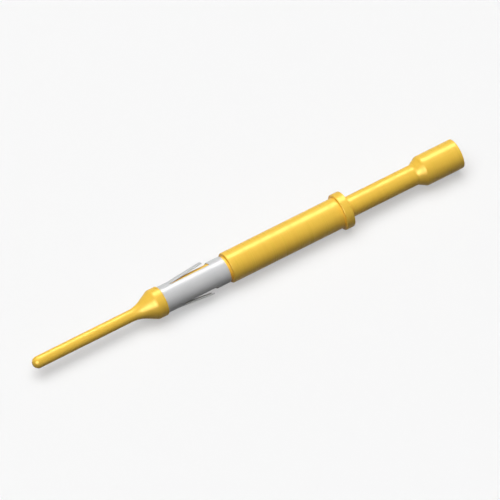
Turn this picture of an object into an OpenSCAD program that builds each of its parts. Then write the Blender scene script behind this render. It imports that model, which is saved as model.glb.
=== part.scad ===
// Signal contact pin: a turned crimp contact with a rolled retention clip on its middle.
// The axis runs along X. The mating tip points to -X and the wire enters from +X.
// The origin is on the axis, at the front face of the collar.

/* [Mating pin] */
// Diameter of the pin
pin_d = 1; // [0.6:0.05:1.6]
// Length of the pin, from its tip to where it starts to widen
pin_l = 9.02; // [4:0.02:16]
// Radius of the hollow sweep between the pin and the cone
pin_sweep_r = 2.6; // [0.6:0.1:5]

/* [Front shoulder] */
// Slope of the cone to the axis, in degrees
cone_slope = 27; // [15:1:45]
// Diameter of the land behind the cone
land_d = 2.5; // [2.3:0.02:3.2]
// Length of the land
land_l = 0.79; // [0.5:0.01:1.6]
// Rounding where the cone meets the land
land_front_r = 0.4; // [0.05:0.05:0.8]
// Rounding of the land's rear edge
land_rear_r = 0.08; // [0.02:0.01:0.14]

/* [Clip seat] */
// Diameter of the groove that the clip sits in
seat_d = 2.03; // [1.8:0.01:2.1]
// Length of the groove
seat_l = 6.03; // [5.6:0.01:9]

/* [Barrel] */
// Diameter of the barrel that fills the connector's cavity
barrel_d = 2.58; // [2.3:0.02:3]
// Length of the barrel
barrel_l = 10.36; // [5:0.02:18]
// Rounding of the barrel's front edge
barrel_edge_r = 0.07; // [0.02:0.01:0.12]

/* [Collar] */
// Diameter of the collar
collar_d = 3.08; // [2.8:0.02:4]
// Length of the collar
collar_l = 0.75; // [0.4:0.01:2]
// Rounding of the collar's two edges
collar_edge_r = 0.08; // [0.02:0.01:0.15]

/* [Neck] */
// Diameter of the neck behind the collar
neck_d = 1.74; // [1.3:0.02:2.2]
// Length of the neck
neck_l = 6.26; // [2.6:0.02:12]
// Fillet where the neck meets the collar
neck_fillet_r = 0.13; // [0.03:0.01:0.25]

/* [Crimp barrel] */
// Outside diameter of the crimp barrel
crimp_d = 2.54; // [2.4:0.02:3]
// Length of the crimp barrel behind its flare
crimp_l = 3.21; // [2.9:0.01:8]
// Slope of the flare from the neck to the crimp barrel, in degrees
flare_slope = 30; // [20:1:45]
// Radius of the bends at both ends of the flare
flare_r = 0.4; // [0.1:0.05:0.6]
// Rounding of the rear edge
crimp_edge_r = 0.08; // [0.02:0.01:0.14]
// Diameter of the bore for the wire
bore_d = 1.6; // [1.2:0.02:1.8]
// Depth of the bore, from the rear face to the end of its straight wall
bore_l = 3.4; // [2:0.02:3.8]
// Bevel of the bore's mouth
mouth_bevel = 0.12; // [0.02:0.01:0.2]
// Point angle of the drill that makes the bore, in degrees
drill_point = 118; // [90:1:140]
// Diameter of the inspection hole in the crimp barrel's wall
inspect_d = 0.5; // [0.3:0.02:0.8]
// Distance of the inspection hole from the end of the bore's straight wall
inspect_from_end = 0.5; // [0.4:0.02:1.4]
// Turn of the inspection hole about the axis, in degrees from +Y towards +Z
inspect_turn = 270; // [0:1:359]

/* [Retention clip] */
// Thickness of the clip's sheet
clip_t = 0.1; // [0.06:0.01:0.16]
// Radial clearance between the clip and its groove
clip_clear = 0.015; // [0.005:0.005:0.04]
// Length that the groove has over the clip
clip_end_play = 0.22; // [0.05:0.01:0.6]
// Width of the open seam of the rolled clip
seam_w = 0.13; // [0.05:0.01:0.4]
// Turn of the first lance about the axis, in degrees from +Y towards +Z
clip_turn = 39.5; // [0:0.5:359]
// Length of the plain band in front of the lances
lance_root = 1; // [0.5:0.02:1.3]
// Length of each lance along the axis
lance_l = 3.17; // [2:0.01:3.6]
// Width of each lance at its root
lance_w = 0.9; // [0.5:0.01:1.1]
// Width of each lance at its free end
lance_tip_w = 0.8; // [0.3:0.01:1.1]
// Angle that each lance is sprung outwards, in degrees
lance_spread = 5; // [3:0.5:10]
// Width of the slit along both sides of a lance's root
slit_w = 0.16; // [0.04:0.01:0.25]
// Length of the window behind a lance's free end
window_end = 0.46; // [0.15:0.01:0.8]

/* [Hidden] */
$fn = 96;
// Largest turn between two points of an arc, in degrees
arc_step = 7.5;
// Full turn, and a quarter of it, in degrees
full_turn = 360;
quarter_turn = 90;

pin_r = pin_d / 2;
land_r = land_d / 2;
seat_r = seat_d / 2;
barrel_r = barrel_d / 2;
collar_r = collar_d / 2;
neck_r = neck_d / 2;
crimp_r = crimp_d / 2;
bore_r = bore_d / 2;

// Places along the axis, forwards from the collar's front face
barrel_x = -barrel_l;
seat_x = barrel_x - seat_l;
land_x = seat_x - land_l;
cone_x = land_x - (land_r - pin_r) / tan(cone_slope);
tip_x = cone_x - pin_sweep_r * tan(cone_slope / 2) - pin_l;

// Places along the axis, backwards from the collar's front face
bend_reach = flare_r * tan(flare_slope / 2);
flare_x = collar_l + neck_l + bend_reach;
crimp_x = flare_x + (crimp_r - neck_r) / tan(flare_slope);
rear_x = crimp_x + bend_reach + crimp_l;
bore_x = rear_x - bore_l;
drill_x = bore_x - bore_r / tan(drill_point / 2);
inspect_x = bore_x + inspect_from_end;

// The clip lies against the rear face of the land
clip_in_r = seat_r + clip_clear;
clip_out_r = clip_in_r + clip_t;
clip_l = seat_l - clip_end_play;
clip_rear_x = seat_x + clip_l;
lance_x = seat_x + lance_root;
lance_end_x = lance_x + lance_l;
lance_rise = lance_l * tan(lance_spread);
window_w = lance_w + 2 * slit_w;
// Angle that the seam takes up round the clip's outside
seam_arc = full_turn * seam_w / (2 * PI * clip_out_r);
lance_sides = [0, full_turn / 2];
seam_side = -quarter_turn;

// The turned outline, as corners of [radius, place along the axis, rounding]
body_corners = [
    [0, tip_x, 0],
    [pin_r, tip_x, pin_r],
    [pin_r, cone_x, pin_sweep_r],
    [land_r, land_x, land_front_r],
    [land_r, seat_x, land_rear_r],
    [seat_r, seat_x, 0],
    [seat_r, barrel_x, 0],
    [barrel_r, barrel_x, barrel_edge_r],
    [barrel_r, 0, 0],
    [collar_r, 0, collar_edge_r],
    [collar_r, collar_l, collar_edge_r],
    [neck_r, collar_l, neck_fillet_r],
    [neck_r, flare_x, flare_r],
    [crimp_r, crimp_x, flare_r],
    [crimp_r, rear_x, crimp_edge_r],
    [bore_r + mouth_bevel, rear_x, 0],
    [bore_r, rear_x - mouth_bevel, 0],
    [bore_r, bore_x, 0],
    [0, drill_x, 0],
];

function unit(v) = v / norm(v);

function turned(v, angle) = [
    v.x * cos(angle) - v.y * sin(angle),
    v.x * sin(angle) + v.y * cos(angle),
];

function place(corner) = [corner[0], corner[1]];

// One corner of an outline, replaced by an arc that is tangent to both of its sides
function corner_arc(before, corner, after, radius) =
    let (
        to_before = unit(before - corner),
        to_after = unit(after - corner),
        opening = acos(to_before * to_after),
        middle = corner + unit(to_before + to_after) * radius / sin(opening / 2),
        start = corner + to_before * radius / tan(opening / 2) - middle,
        end = corner + to_after * radius / tan(opening / 2) - middle,
        turn = sign(cross(start, end)) * (full_turn / 2 - opening),
        steps = ceil(abs(turn) / arc_step)
    )
    [for (i = [0:steps]) middle + turned(start, turn * i / steps)];

// An outline with each corner rounded by its own radius
function rounded(corners) = [
    for (i = [0:len(corners) - 1])
        let (
            before = corners[(i + len(corners) - 1) % len(corners)],
            corner = corners[i],
            after = corners[(i + 1) % len(corners)]
        )
        each corner[2] == 0
            ? [place(corner)]
            : corner_arc(place(before), place(corner), place(after), corner[2])
];

// Lays a shape made about Z along the contact's axis, turned from +Y towards +Z
module on_axis(turn = 0) {
    rotate([turn, 0, 0])
        rotate([0, quarter_turn, 0])
            rotate([0, 0, quarter_turn])
                children();
}

// A stretch of a ring, centred on one side of the axis
module ring_part(outline, arc, side) {
    rotate_extrude(angle = arc, start = side - arc / 2)
        polygon(outline);
}

// The outline of the sheet from one place to another, with a rise at its far end
function sheet(from_x, to_x, rise) = [
    [clip_in_r, from_x],
    [clip_out_r, from_x],
    [clip_out_r + rise, to_x],
    [clip_in_r + rise, to_x],
];

// A block with straight sides that reaches out from the axis to one side, beyond the sheet
module side_block(from_x, to_x, from_w, to_w, side) {
    rotate([0, 0, side])
        rotate([quarter_turn, 0, quarter_turn])
            linear_extrude(height = 2 * clip_out_r)
                polygon([
                    [-from_w / 2, from_x],
                    [from_w / 2, from_x],
                    [to_w / 2, to_x],
                    [-to_w / 2, to_x],
                ]);
}

// A tapered tongue of the sheet, sprung outwards from its root
module lance(side) {
    intersection() {
        ring_part(sheet(lance_x, lance_end_x, lance_rise), full_turn / 2, side);
        side_block(lance_x, lance_end_x, lance_w, lance_tip_w, side);
    }
}

// The contact, turned from one bar
module contact_body() {
    color([0.94, 0.74, 0.27])
        difference() {
            on_axis()
                rotate_extrude()
                    polygon(rounded(body_corners));
            translate([inspect_x, 0, 0])
                rotate([inspect_turn, 0, 0])
                    rotate([-quarter_turn, 0, 0])
                        cylinder(h = crimp_d, d = inspect_d);
        }
}

// The clip: a sheet rolled to a split sleeve, with two lances bent out of its wall
module retention_clip() {
    color([0.78, 0.79, 0.8])
        on_axis(clip_turn) {
            difference() {
                ring_part(sheet(seat_x, clip_rear_x, 0), full_turn - seam_arc, seam_side + full_turn / 2);
                for (side = lance_sides)
                    side_block(lance_x, lance_end_x + window_end, window_w, window_w, side);
            }
            for (side = lance_sides)
                lance(side);
        }
}

contact_body();
retention_clip();
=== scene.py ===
import math

import bmesh
import bpy
from mathutils import Matrix, Vector


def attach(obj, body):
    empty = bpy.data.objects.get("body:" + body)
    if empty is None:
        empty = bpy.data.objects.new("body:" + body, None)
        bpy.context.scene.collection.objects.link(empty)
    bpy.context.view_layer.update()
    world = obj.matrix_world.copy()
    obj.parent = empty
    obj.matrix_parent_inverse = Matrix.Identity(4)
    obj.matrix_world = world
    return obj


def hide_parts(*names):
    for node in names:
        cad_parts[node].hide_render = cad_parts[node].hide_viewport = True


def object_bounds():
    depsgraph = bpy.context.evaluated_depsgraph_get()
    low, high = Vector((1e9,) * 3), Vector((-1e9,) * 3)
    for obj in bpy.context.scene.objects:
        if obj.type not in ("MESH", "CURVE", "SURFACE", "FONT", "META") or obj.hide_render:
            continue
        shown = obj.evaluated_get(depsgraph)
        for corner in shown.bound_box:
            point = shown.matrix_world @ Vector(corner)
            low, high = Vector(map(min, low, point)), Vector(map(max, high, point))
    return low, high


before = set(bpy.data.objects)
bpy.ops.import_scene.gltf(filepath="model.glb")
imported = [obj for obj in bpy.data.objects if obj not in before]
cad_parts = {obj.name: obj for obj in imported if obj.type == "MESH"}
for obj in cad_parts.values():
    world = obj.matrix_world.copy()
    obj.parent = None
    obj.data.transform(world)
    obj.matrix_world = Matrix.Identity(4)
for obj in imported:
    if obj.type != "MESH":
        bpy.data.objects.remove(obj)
cad_low, cad_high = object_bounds()

# Sizes of the contact, in millimetres and radians. Meshes are made in millimetres and end up in metres.
MM = 0.001
PIN_D, PIN_L, PIN_SWEEP_R = 1.0, 9.02, 2.6
CONE_SLOPE = math.radians(27)
LAND_D, LAND_L, LAND_FRONT_R, LAND_REAR_R = 2.5, 0.79, 0.4, 0.08
SEAT_D, SEAT_L = 2.03, 6.03
BARREL_D, BARREL_L, BARREL_EDGE_R = 2.58, 10.36, 0.07
COLLAR_D, COLLAR_L, COLLAR_EDGE_R = 3.08, 0.75, 0.08
NECK_D, NECK_L, NECK_FILLET_R = 1.74, 6.26, 0.13
CRIMP_D, CRIMP_L, CRIMP_EDGE_R = 2.54, 3.21, 0.08
FLARE_SLOPE, FLARE_R = math.radians(30), 0.4
BORE_D, BORE_L, MOUTH_BEVEL = 1.6, 3.4, 0.12
DRILL_POINT = math.radians(118)
INSPECT_D, INSPECT_FROM_END = 0.5, 0.5
CLIP_T, CLIP_CLEAR, CLIP_END_PLAY, SEAM_W = 0.1, 0.015, 0.22, 0.13
LANCE_ROOT, LANCE_L, LANCE_W, LANCE_TIP_W = 1.0, 3.17, 0.9, 0.8
LANCE_SPREAD = math.radians(5)
SLIT_W, WINDOW_END = 0.16, 0.46

# Turn of the clip about the axis, from +Y towards +Z, and the sides of its lances and seam from there
CLIP_TURN = math.radians(39.5)
LANCE_SIDES = (0, math.pi)
SEAM_SIDE = -math.pi / 2

# Places along the axis, from the collar's front face
BARREL_X = -BARREL_L
SEAT_X = BARREL_X - SEAT_L
LAND_X = SEAT_X - LAND_L
CONE_X = LAND_X - (LAND_D - PIN_D) / 2 / math.tan(CONE_SLOPE)
TIP_X = CONE_X - PIN_SWEEP_R * math.tan(CONE_SLOPE / 2) - PIN_L
BEND_REACH = FLARE_R * math.tan(FLARE_SLOPE / 2)
FLARE_X = COLLAR_L + NECK_L + BEND_REACH
CRIMP_X = FLARE_X + (CRIMP_D - NECK_D) / 2 / math.tan(FLARE_SLOPE)
REAR_X = CRIMP_X + BEND_REACH + CRIMP_L
BORE_X = REAR_X - BORE_L
DRILL_X = BORE_X - BORE_D / 2 / math.tan(DRILL_POINT / 2)
INSPECT_X = BORE_X + INSPECT_FROM_END
CLIP_REAR_X = BARREL_X - CLIP_END_PLAY
LANCE_X = SEAT_X + LANCE_ROOT
LANCE_END_X = LANCE_X + LANCE_L
WINDOW_END_X = LANCE_END_X + WINDOW_END

# Sizes that follow from others
CLIP_IN_R = SEAT_D / 2 + CLIP_CLEAR
CLIP_OUT_R = CLIP_IN_R + CLIP_T
LANCE_RISE = LANCE_L * math.tan(LANCE_SPREAD)
WINDOW_W = LANCE_W + 2 * SLIT_W

# Fineness of the meshes: sides of round forms, and the longest steps along arcs and stretches
TURNS = 192
ARC_STEP = math.radians(6)
RING_STEP = 0.35
DRILL_SIDES = 64
CLIP_ARC_STEP = math.radians(2.5)
CLIP_X_STEP = 0.16
FLOOR_SIDES = 96
# Distance from the end of a long straight stretch to the ring that holds its shading
HOLD_RING = 0.02
# Rounding of the clip's cut edges, and the least angle of an edge that gets it
CLIP_EDGE_R, CLIP_EDGE_STEPS = 0.016, 3
CLIP_EDGE_ANGLE = math.radians(50)
# Least angle of an edge that is shaded sharp
SHARP_ANGLE = math.radians(32)
# Slack for comparing lengths
TINY = 1e-6

# The photograph's view, with 500 pixels to a side, and where the origin lies in it
VIEW_AZIMUTH, VIEW_ELEVATION = math.radians(-31.56), math.radians(54.26)
IMAGE_PX = 500
PX_PER_MM = 12.59
ORIGIN_PX = (337.69, 212.72)
# A very long lens, because the photograph has no perspective
LENS_MM, SENSOR_MM = 1200, 36
# Nearest and furthest distance that the camera sees, in metres
VIEW_NEAR, VIEW_FAR = 0.01, 10

# Light. Directions point away from the contact, lengths are in metres and powers in watts.
# The dome's strength rises from low to high as a direction nears DOME_DIR, from the cosine DOME_FROM on.
DOME_DIR = (0, 0.3, 0.95)
DOME_FROM, DOME_LOW, DOME_HIGH = -0.35, 0.0, 0.06
# Strength of the surround where it is seen
WORLD_SHOWN = 0.9
# Lamps: one that lights the contact, and two cards that show in its gloss
LAMP_DISTANCE = 2
OVER_DIR, OVER_SIZE, OVER_POWER = (-0.12, 0.1, 0.98), 2.0, 50
BACK_DIR, BACK_SIZE, BACK_POWER = (0.31, 0.58, 0.75), 0.95, 52
TIP_DIR, TIP_SIZE, TIP_POWER = (-0.57, -0.45, 0.69), 1.4, 150
# Floor: its paint for the light that it throws back, and its paint and glow where it is seen
FLOOR_RADIUS = 4
FLOOR_BOUNCE, FLOOR_SHOWN, FLOOR_GLOW = 0.1, 0.5, 0.45

# Finish. Colours are linear, and noise is given by its steps per metre and its detail.
WHITE = (1, 1, 1, 1)
# Range that most values of a noise lie in
NOISE_LOW, NOISE_HIGH = 0.3, 0.7
# How far a roughness strays to both sides
ROUGH_STRAY = 0.06

# Gold: its colour, the deeper one that it turns to in patches, and its gloss
GOLD_COLOR, GOLD_DEEP = (0.98, 0.62, 0.078), (0.94, 0.57, 0.066)
GOLD_METAL, GOLD_SPEC, GOLD_ROUGH = 0.03, 0.12, 0.33
GOLD_TINT = (1.0, 0.95, 0.85)
# Least that the patches and the bands each let through of the deeper colour
GOLD_DEEP_LEAST = 0.2
# Marks of turning: soft bands and fine lines round the axis, which drift a little on their way
BANDS_PER_M, LINES_PER_M, MARK_DRIFT, MARK_DETAIL = 3000, 18000, 150, 0
GOLD_PATCHES_PER_M, GOLD_PATCH_DETAIL = 420, 3
GOLD_GRAIN_PER_M, GOLD_GRAIN_DETAIL = 26000, 2
# Relief: the shares of the lines and of the grain in it, its strength and its depth in metres
LINE_SHARE, GRAIN_SHARE = 0.7, 0.3
GOLD_RELIEF, GOLD_DEPTH = 0.6, 1.2e-6

# Steel: its colour, the darker one in patches, its gloss, and the grain of rolled strip
STEEL_COLOR, STEEL_DARK = (0.67, 0.67, 0.675), (0.63, 0.635, 0.64)
STEEL_METAL, STEEL_SPEC, STEEL_ROUGH = 0.03, 0.08, 0.32
STEEL_PATCHES_PER_M, STEEL_PATCH_DETAIL = 600, 2
STEEL_ALONG_PER_M, STEEL_ACROSS_PER_M = 700, 15000
STEEL_GRAIN_DETAIL, STEEL_GRAIN_ROUGHNESS = 4, 0.6
STEEL_RELIEF, STEEL_DEPTH = 0.3, 1.5e-6


# Meshes

def mesh_object(name, bm):
    """A new object in the scene that takes over the bmesh."""
    mesh = bpy.data.meshes.new(name)
    bm.to_mesh(mesh)
    bm.free()
    piece = bpy.data.objects.new(name, mesh)
    bpy.context.scene.collection.objects.link(piece)
    return piece


def apply_modifiers(piece):
    """Puts the mesh that the modifiers make in place of the piece's own."""
    bpy.context.view_layer.update()
    evaluated = piece.evaluated_get(bpy.context.evaluated_depsgraph_get())
    mesh = bpy.data.meshes.new_from_object(evaluated)
    piece.modifiers.clear()
    piece.data = mesh


def finish_mesh(mesh):
    """Shades the mesh smooth between its sharp edges and sets it in metres."""
    mesh.shade_smooth()
    mesh.set_sharp_from_angle(angle=SHARP_ANGLE)
    mesh.transform(Matrix.Scale(MM, 4))


# Geometry of the turned body

def corner_arc(before, corner, after, radius):
    """The points of an arc that rounds one corner of an outline."""
    to_before = (before - corner).normalized()
    to_after = (after - corner).normalized()
    opening = to_before.angle(to_after)
    middle = corner + (to_before + to_after).normalized() * radius / math.sin(opening / 2)
    start = corner + to_before * radius / math.tan(opening / 2) - middle
    end = corner + to_after * radius / math.tan(opening / 2) - middle
    turn = math.copysign(math.pi - opening, start.cross(end))
    steps = math.ceil(abs(turn) / ARC_STEP)
    return [middle + Matrix.Rotation(turn * i / steps, 2) @ start for i in range(steps + 1)]


def rounded(corners):
    """An outline of (radius, place, rounding) corners, each rounded by its own radius."""
    points = []
    for i, (radius, place, rounding) in enumerate(corners):
        corner = Vector((radius, place))
        if rounding == 0:
            points.append(corner)
            continue
        before = Vector(corners[i - 1][:2])
        after = Vector(corners[(i + 1) % len(corners)][:2])
        points += corner_arc(before, corner, after, rounding)
    return points


def with_rings(points):
    """The outline with more points on its long straight stretches, and one close to each of their ends."""
    out = [points[0]]
    for a, b in zip(points, points[1:]):
        length = (b - a).length
        if length > RING_STEP:
            hold = HOLD_RING / length
            count = math.ceil(length / RING_STEP)
            shares = [hold] + [i / count for i in range(1, count)] + [1 - hold]
            out += [a.lerp(b, share) for share in shares]
        out.append(b)
    return out


def lathe(name, outline):
    """A closed mesh turned about X. The outline of (radius, place) points starts and ends on the axis."""
    bm = bmesh.new()
    angles = [2 * math.pi * i / TURNS for i in range(TURNS)]
    front = bm.verts.new((outline[0].y, 0, 0))
    rear = bm.verts.new((outline[-1].y, 0, 0))
    rings = [
        [bm.verts.new((p.y, p.x * math.cos(a), p.x * math.sin(a))) for a in angles]
        for p in outline[1:-1]
    ]
    for i in range(TURNS):
        j = (i + 1) % TURNS
        bm.faces.new((front, rings[0][j], rings[0][i]))
        for near, far in zip(rings, rings[1:]):
            bm.faces.new((near[i], near[j], far[j], far[i]))
        bm.faces.new((rear, rings[-1][i], rings[-1][j]))
    bmesh.ops.recalc_face_normals(bm, faces=bm.faces)
    return mesh_object(name, bm)


def drill_inspection_hole(body):
    """Cuts the hole through the crimp barrel's lower wall into the bore."""
    bm = bmesh.new()
    bmesh.ops.create_cone(
        bm, cap_ends=True, segments=DRILL_SIDES, radius1=INSPECT_D / 2, radius2=INSPECT_D / 2,
        depth=CRIMP_D, matrix=Matrix.Translation((INSPECT_X, 0, -CRIMP_D / 2)),
    )
    drill = mesh_object("inspection_drill", bm)
    cut = body.modifiers.new("inspection_hole", "BOOLEAN")
    cut.object = drill
    cut.solver = "EXACT"
    apply_modifiers(body)
    bpy.data.objects.remove(drill)


def contact_body():
    """The contact, turned from one bar."""
    outline = rounded([
        (0, TIP_X, 0),
        (PIN_D / 2, TIP_X, PIN_D / 2),
        (PIN_D / 2, CONE_X, PIN_SWEEP_R),
        (LAND_D / 2, LAND_X, LAND_FRONT_R),
        (LAND_D / 2, SEAT_X, LAND_REAR_R),
        (SEAT_D / 2, SEAT_X, 0),
        (SEAT_D / 2, BARREL_X, 0),
        (BARREL_D / 2, BARREL_X, BARREL_EDGE_R),
        (BARREL_D / 2, 0, 0),
        (COLLAR_D / 2, 0, COLLAR_EDGE_R),
        (COLLAR_D / 2, COLLAR_L, COLLAR_EDGE_R),
        (NECK_D / 2, COLLAR_L, NECK_FILLET_R),
        (NECK_D / 2, FLARE_X, FLARE_R),
        (CRIMP_D / 2, CRIMP_X, FLARE_R),
        (CRIMP_D / 2, REAR_X, CRIMP_EDGE_R),
        (BORE_D / 2 + MOUTH_BEVEL, REAR_X, 0),
        (BORE_D / 2, REAR_X - MOUTH_BEVEL, 0),
        (BORE_D / 2, BORE_X, 0),
        (0, DRILL_X, 0),
    ])
    # The arc of the round tip starts on the axis, in the same place as the corner before it
    body = lathe("contact_body_turned", with_rings(outline[1:]))
    drill_inspection_hole(body)
    finish_mesh(body.data)
    return body


# Geometry of the retention clip

def split(stops, step):
    """The stops with more places between them, none further apart than the step."""
    out = []
    for a, b in zip(stops, stops[1:]):
        count = math.ceil((b - a) / step)
        out += [a + (b - a) * i / count for i in range(count)]
    return out + [stops[-1]]


def clip_columns():
    """The lines along the clip that its mesh hangs on, from one edge of the seam round to the other.

    Each is an angle round the axis and an offset from there. The offset is a straight distance
    across a window, and None on the plain wall between the windows.
    """
    seam_half = SEAM_W / 2 / CLIP_OUT_R
    clear = math.asin(WINDOW_W / 2 / CLIP_IN_R) + CLIP_ARC_STEP / 2
    across = [-WINDOW_W / 2]
    across += split([-LANCE_W / 2, LANCE_W / 2], CLIP_ARC_STEP * CLIP_OUT_R)
    across.append(WINDOW_W / 2)
    columns = []
    start = SEAM_SIDE + seam_half
    for side in LANCE_SIDES:
        columns += [(angle, None) for angle in split([start, side - clear], CLIP_ARC_STEP)]
        columns += [(side, offset) for offset in across]
        start = side + clear
    end = SEAM_SIDE + 2 * math.pi - seam_half
    columns += [(angle, None) for angle in split([start, end], CLIP_ARC_STEP)]
    return columns


def retention_clip():
    """The clip: a sheet rolled to a split sleeve, with two lances bent out of its wall."""
    columns = clip_columns()
    places = split([SEAT_X, LANCE_X, LANCE_END_X, WINDOW_END_X, CLIP_REAR_X], CLIP_X_STEP)
    bm = bmesh.new()
    made = {}

    def is_sheet(i, j):
        """Whether the cell from column i and place j to the next ones is metal."""
        if not (0 <= i < len(columns) - 1 and 0 <= j < len(places) - 1):
            return False
        left, right = columns[i][1], columns[i + 1][1]
        x = (places[j] + places[j + 1]) / 2
        if left is None or right is None or not LANCE_X < x < WINDOW_END_X:
            return True
        return abs(left + right) < LANCE_W and x < LANCE_END_X

    def point(i, j, radius):
        """Where column i and place j meet. On a lance, the radius grows and the offset shrinks."""
        angle, offset = columns[i]
        x = places[j]
        if offset is not None:
            if abs(offset) < LANCE_W / 2 + TINY and LANCE_X < x < LANCE_END_X + TINY:
                share = (x - LANCE_X) / LANCE_L
                radius += share * LANCE_RISE
                offset *= 1 + share * (LANCE_TIP_W / LANCE_W - 1)
            angle += math.asin(offset / radius)
        turn = CLIP_TURN + angle
        return x, radius * math.cos(turn), radius * math.sin(turn)

    def vert(i, j, radius):
        """The vertex there, made once."""
        if (i, j, radius) not in made:
            made[i, j, radius] = bm.verts.new(point(i, j, radius))
        return made[i, j, radius]

    for i in range(len(columns) - 1):
        for j in range(len(places) - 1):
            if not is_sheet(i, j):
                continue
            ring = [(i, j), (i + 1, j), (i + 1, j + 1), (i, j + 1)]
            bm.faces.new([vert(*c, CLIP_OUT_R) for c in ring])
            bm.faces.new([vert(*c, CLIP_IN_R) for c in reversed(ring)])
            neighbours = [(i, j - 1), (i + 1, j), (i, j + 1), (i - 1, j)]
            for k, beside in enumerate(neighbours):
                if not is_sheet(*beside):
                    a, b = ring[k], ring[(k + 1) % len(ring)]
                    wall = [(*a, CLIP_OUT_R), (*a, CLIP_IN_R), (*b, CLIP_IN_R), (*b, CLIP_OUT_R)]
                    bm.faces.new([vert(*c) for c in wall])
    bmesh.ops.recalc_face_normals(bm, faces=bm.faces)
    clip = mesh_object("retention_clip_sheet", bm)
    edge = clip.modifiers.new("rounded_edges", "BEVEL")
    edge.width = CLIP_EDGE_R
    edge.segments = CLIP_EDGE_STEPS
    edge.limit_method = "ANGLE"
    edge.angle_limit = CLIP_EDGE_ANGLE
    apply_modifiers(clip)
    finish_mesh(clip.data)
    return clip


# Materials

class Nodes:
    """A node tree, with short calls that make and join nodes."""

    def __init__(self, tree):
        self.tree = tree

    def add(self, kind, inputs=None, **settings):
        """A new node, with its settings and what goes into its inputs."""
        node = self.tree.nodes.new("ShaderNode" + kind)
        for key, value in settings.items():
            setattr(node, key, value)
        for key, value in (inputs or {}).items():
            self.set(node.inputs[key], value)
        return node

    def set(self, socket, value):
        """Joins another node's output to the socket, or gives it a plain value."""
        if isinstance(value, bpy.types.NodeSocket):
            self.tree.links.new(value, socket)
        else:
            socket.default_value = value

    def math(self, operation, *values):
        """The result of an operation on values or outputs."""
        node = self.add("Math", operation=operation)
        for socket, value in zip(node.inputs, values):
            self.set(socket, value)
        return node.outputs[0]

    def noise(self, place, scale, detail, **others):
        """A noise of that many steps to a unit of the place."""
        node = self.add("TexNoise", {"Vector": place, "Scale": scale, "Detail": detail, **others})
        return node.outputs["Fac"]

    def spread(self, value, low, high):
        """A noise value, mapped from its usual range to the one from low to high."""
        node = self.add("MapRange", {
            "Value": value,
            "From Min": NOISE_LOW,
            "From Max": NOISE_HIGH,
            "To Min": low,
            "To Max": high,
        })
        return node.outputs["Result"]

    def blend(self, share, first, second):
        """A colour between the first, where the share is 0, and the second, where it is 1."""
        node = self.add("Mix", {"Factor": share, "A": (*first, 1), "B": (*second, 1)}, data_type="RGBA")
        return node.outputs["Result"]

    def seen(self):
        """1 for a camera, gloss or transmission ray, and 0 for the rays that gather diffuse light."""
        path = self.add("LightPath").outputs
        shown = self.math("MAXIMUM", path["Is Camera Ray"], path["Is Glossy Ray"])
        return self.math("MAXIMUM", shown, path["Is Transmission Ray"])


class Shader(Nodes):
    """The node tree of a new material."""

    def __init__(self, name):
        self.material = bpy.data.materials.new(name)
        self.material.use_nodes = True
        super().__init__(self.material.node_tree)
        self.surface = self.tree.nodes["Principled BSDF"]

    def finish(self, **sockets):
        """Sets the surface's sockets, with _ for each space in their names, and gives the material."""
        for key, value in sockets.items():
            self.set(self.surface.inputs[key.replace("_", " ")], value)
        return self.material


def gold_plating():
    """Satin gold over turned metal: tool marks round the axis, a fine grain and faint deeper patches."""
    s = Shader("gold_finish")
    place = s.add("TexCoord").outputs["Object"]
    xyz = s.add("SeparateXYZ", {"Vector": place}).outputs
    radius = s.math("SQRT", s.math("ADD", s.math("POWER", xyz["Y"], 2), s.math("POWER", xyz["Z"], 2)))
    along = s.math("ADD", xyz["X"], radius)

    def marks(per_metre):
        """A noise that runs along the outline and changes slowly round the axis."""
        at = s.add("CombineXYZ", {
            "X": s.math("MULTIPLY", along, per_metre),
            "Y": s.math("MULTIPLY", xyz["Y"], MARK_DRIFT),
            "Z": s.math("MULTIPLY", xyz["Z"], MARK_DRIFT),
        })
        return s.noise(at.outputs[0], 1, MARK_DETAIL)

    bands = marks(BANDS_PER_M)
    lines = marks(LINES_PER_M)
    patches = s.noise(place, GOLD_PATCHES_PER_M, GOLD_PATCH_DETAIL)
    grain = s.noise(place, GOLD_GRAIN_PER_M, GOLD_GRAIN_DETAIL)
    deep = s.math("MULTIPLY", s.spread(patches, GOLD_DEEP_LEAST, 1), s.spread(bands, GOLD_DEEP_LEAST, 1))
    roughness = s.math(
        "ADD",
        s.spread(lines, GOLD_ROUGH - ROUGH_STRAY, GOLD_ROUGH + ROUGH_STRAY),
        s.spread(bands, -ROUGH_STRAY, ROUGH_STRAY),
    )
    height = s.math("ADD", s.math("MULTIPLY", lines, LINE_SHARE), s.math("MULTIPLY", grain, GRAIN_SHARE))
    bump = s.add("Bump", {"Height": height, "Strength": GOLD_RELIEF, "Distance": GOLD_DEPTH})
    return s.finish(
        Base_Color=s.blend(deep, GOLD_COLOR, GOLD_DEEP), Metallic=GOLD_METAL, Roughness=roughness,
        Normal=bump.outputs["Normal"], Specular_IOR_Level=GOLD_SPEC, Specular_Tint=(*GOLD_TINT, 1),
    )


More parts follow.
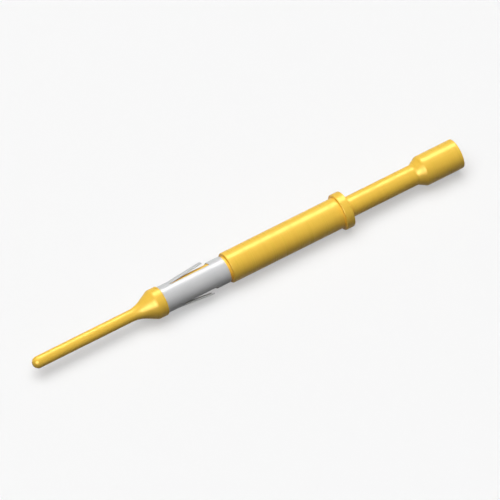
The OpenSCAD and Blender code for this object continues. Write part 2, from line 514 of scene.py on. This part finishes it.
def spring_steel():
    """Bright rolled stainless strip, with its grain along the clip."""
    s = Shader("steel_finish")
    place = s.add("TexCoord").outputs["Object"]
    stretched = s.add("Mapping", {
        "Vector": place,
        "Scale": (STEEL_ALONG_PER_M, STEEL_ACROSS_PER_M, STEEL_ACROSS_PER_M),
    })
    grain = s.noise(stretched.outputs[0], 1, STEEL_GRAIN_DETAIL, Roughness=STEEL_GRAIN_ROUGHNESS)
    patches = s.noise(place, STEEL_PATCHES_PER_M, STEEL_PATCH_DETAIL)
    bump = s.add("Bump", {"Height": grain, "Strength": STEEL_RELIEF, "Distance": STEEL_DEPTH})
    return s.finish(
        Base_Color=s.blend(s.spread(patches, 0, 1), STEEL_COLOR, STEEL_DARK), Metallic=STEEL_METAL,
        Roughness=s.spread(grain, STEEL_ROUGH - ROUGH_STRAY, STEEL_ROUGH + ROUGH_STRAY),
        Normal=bump.outputs["Normal"], Specular_IOR_Level=STEEL_SPEC,
    )


def floor_paint():
    """Pale paint, white where it is seen. A share of that is a glow, which keeps its shadows light."""
    s = Shader("pale_floor")
    # The glow is only seen, so it needn't be sampled as a lamp
    s.material.cycles.emission_sampling = "NONE"
    seen = s.seen()
    return s.finish(
        Base_Color=s.blend(seen, (FLOOR_BOUNCE,) * 3, (FLOOR_SHOWN,) * 3), Roughness=1,
        Specular_IOR_Level=0, Emission_Color=WHITE,
        Emission_Strength=s.math("MULTIPLY", seen, FLOOR_GLOW),
    )


# Stage, light and camera

def floor():
    """A pale disc that the collar touches."""
    bm = bmesh.new()
    bmesh.ops.create_circle(bm, cap_ends=True, segments=FLOOR_SIDES, radius=FLOOR_RADIUS)
    piece = mesh_object("floor", bm)
    piece.location.z = -COLLAR_D / 2 * MM
    piece.data.materials.append(floor_paint())


def world_light():
    """A soft dome, brightest above and a little behind the contact, and a pale surround where seen."""
    world = bpy.data.worlds.new("studio")
    bpy.context.scene.world = world
    world.use_nodes = True
    w = Nodes(world.node_tree)
    place = w.add("TexCoord").outputs["Generated"]
    toward = w.add("VectorMath", {0: place, 1: Vector(DOME_DIR).normalized()}, operation="DOT_PRODUCT")
    dome = w.add("MapRange", {
        "Value": toward.outputs["Value"],
        "From Min": DOME_FROM,
        "To Min": DOME_LOW,
        "To Max": DOME_HIGH,
    })
    strength = w.add("Mix", {"Factor": w.seen(), "A": dome.outputs["Result"], "B": WORLD_SHOWN})
    background = world.node_tree.nodes["Background"]
    w.set(background.inputs["Color"], WHITE)
    w.set(background.inputs["Strength"], strength.outputs["Result"])


def lamp(name, direction, size, power, card=False):
    """A square soft lamp that faces the middle of the contact.

    It lights surfaces but doesn't show in their gloss. A card only shows there.
    """
    data = bpy.data.lights.new(name, "AREA")
    data.size = size
    data.energy = power
    piece = bpy.data.objects.new(name, data)
    piece.visible_diffuse = not card
    piece.visible_glossy = card
    bpy.context.scene.collection.objects.link(piece)
    toward = Vector(direction).normalized()
    middle = (cad_low + cad_high) / 2
    piece.location = middle + toward * LAMP_DISTANCE
    piece.rotation_euler = toward.to_track_quat("Z", "Y").to_euler()


def camera():
    """The photograph's camera, which puts the origin where the photograph has it."""
    data = bpy.data.cameras.new("camera")
    data.lens = LENS_MM
    data.sensor_width = SENSOR_MM
    data.clip_start = VIEW_NEAR
    data.clip_end = VIEW_FAR
    piece = bpy.data.objects.new("camera", data)
    bpy.context.scene.collection.objects.link(piece)
    a, e = VIEW_AZIMUTH, VIEW_ELEVATION
    back = Vector((math.sin(a) * math.cos(e), -math.cos(a) * math.cos(e), math.sin(e)))
    right = Vector((math.cos(a), math.sin(a), 0))
    up = back.cross(right)
    frame_mm = IMAGE_PX / PX_PER_MM
    right_mm = (ORIGIN_PX[0] - IMAGE_PX / 2) / PX_PER_MM
    up_mm = (IMAGE_PX / 2 - ORIGIN_PX[1]) / PX_PER_MM
    aim = -right * right_mm - up * up_mm
    piece.location = (aim + back * frame_mm * LENS_MM / SENSOR_MM) * MM
    piece.rotation_euler = back.to_track_quat("Z", "Y").to_euler()
    bpy.context.scene.camera = piece


# The two pieces, each in place of its CAD node
for make, paint, node, slot in (
    (contact_body, gold_plating, "contact_body", "gold_plating"),
    (retention_clip, spring_steel, "retention_clip", "spring_steel"),
):
    piece = make()
    piece.data.materials.append(paint())
    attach(piece, "root")
    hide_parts(node)

floor()
world_light()
lamp("overhead", OVER_DIR, OVER_SIZE, OVER_POWER)
lamp("back", BACK_DIR, BACK_SIZE, BACK_POWER, card=True)
lamp("tip", TIP_DIR, TIP_SIZE, TIP_POWER, card=True)
camera()

bpy.context.scene.view_settings.view_transform = "Standard"
